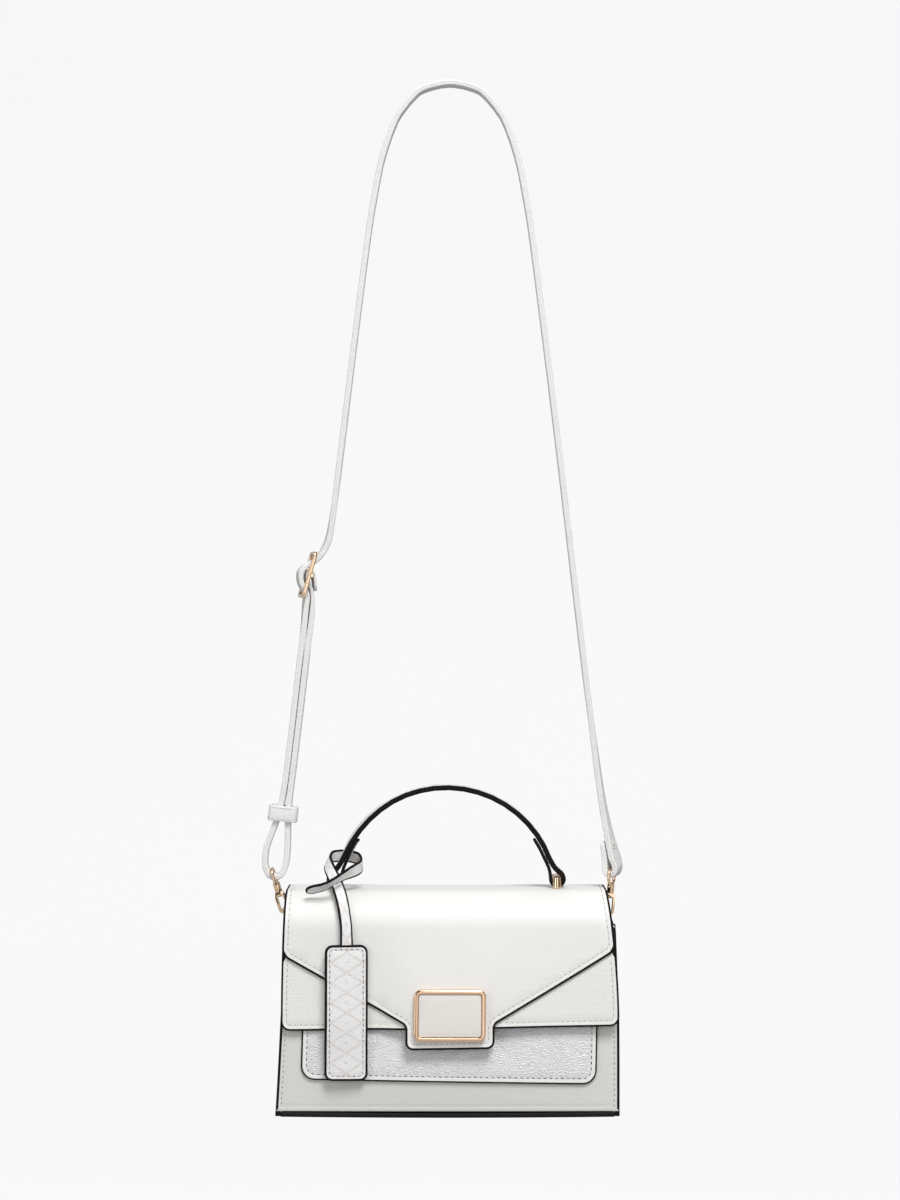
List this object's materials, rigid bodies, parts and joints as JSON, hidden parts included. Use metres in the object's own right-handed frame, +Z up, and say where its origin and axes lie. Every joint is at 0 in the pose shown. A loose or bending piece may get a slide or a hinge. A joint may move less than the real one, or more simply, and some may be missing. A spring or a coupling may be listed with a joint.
{
  "type": "crossbody bag",
  "caption": "Small structured satchel with a V-cut flap, framed clasp, arched top handle, hanging tag and a long shoulder strap on sprung snap hooks.",
  "frame": {"origin": "hanging point under the top of the shoulder strap's arch, in the strap's middle", "axes": "+Z up, -Y out of the front of the bag, +X to the right as the front is seen"},
  "size_m": [0.2363, 0.0968, 0.6774],
  "materials": {
    "white_leather": "smooth off-white leather with black painted edges",
    "cross_grain_leather": "off-white leather pressed with a fine diagonal cross grain",
    "pebbled_grey_leather": "cool pale grey pebbled leather with a slight sheen",
    "black_leather": "black painted leather",
    "rose_gold": "polished pale rose gold plate",
    "pale_enamel": "satin greige enamel"
  },
  "bodies": {
    "bag": {"back_panel": "white_leather", "base_panel": "black_leather", "clasp_frame": "rose_gold", "clasp_plate": "pale_enamel", "d_ring_left": "rose_gold", "d_ring_right": "rose_gold", "flap_lower": "cross_grain_leather", "flap_upper": "white_leather", "front_panel": "white_leather", "front_pocket": "pebbled_grey_leather", "gusset_left": "white_leather", "gusset_right": "white_leather", "handle": "white_leather", "handle_bridge_left": "rose_gold", "handle_bridge_right": "rose_gold", "hook_body_left": "rose_gold", "hook_body_right": "rose_gold", "hook_eye_left": "rose_gold", "hook_eye_right": "rose_gold", "shoulder_strap": "white_leather", "side_tab_left": "white_leather", "side_tab_right": "white_leather", "strap_buckle": "rose_gold", "strap_keeper": "white_leather", "tag": "white_leather", "tag_strap": "white_leather"},
    "gate_left": {"hook_gate_left": "rose_gold"},
    "gate_right": {"hook_gate_right": "rose_gold"}
  },
  "joints": [
    {"name": "gate_left_hinge", "type": "hinge", "parent": "bag", "child": "gate_left", "pos_m": [-0.10958, 0, -0.53404], "axis": [0, 1, 0], "range_deg": [0, 25], "stiffness_Nm_per_rad": 0.01, "springref_deg": -8.59},
    {"name": "gate_right_hinge", "type": "hinge", "parent": "bag", "child": "gate_right", "pos_m": [0.10296, 0, -0.53551], "axis": [0, -1, 0], "range_deg": [0, 25], "stiffness_Nm_per_rad": 0.01, "springref_deg": -8.59}
  ]
}
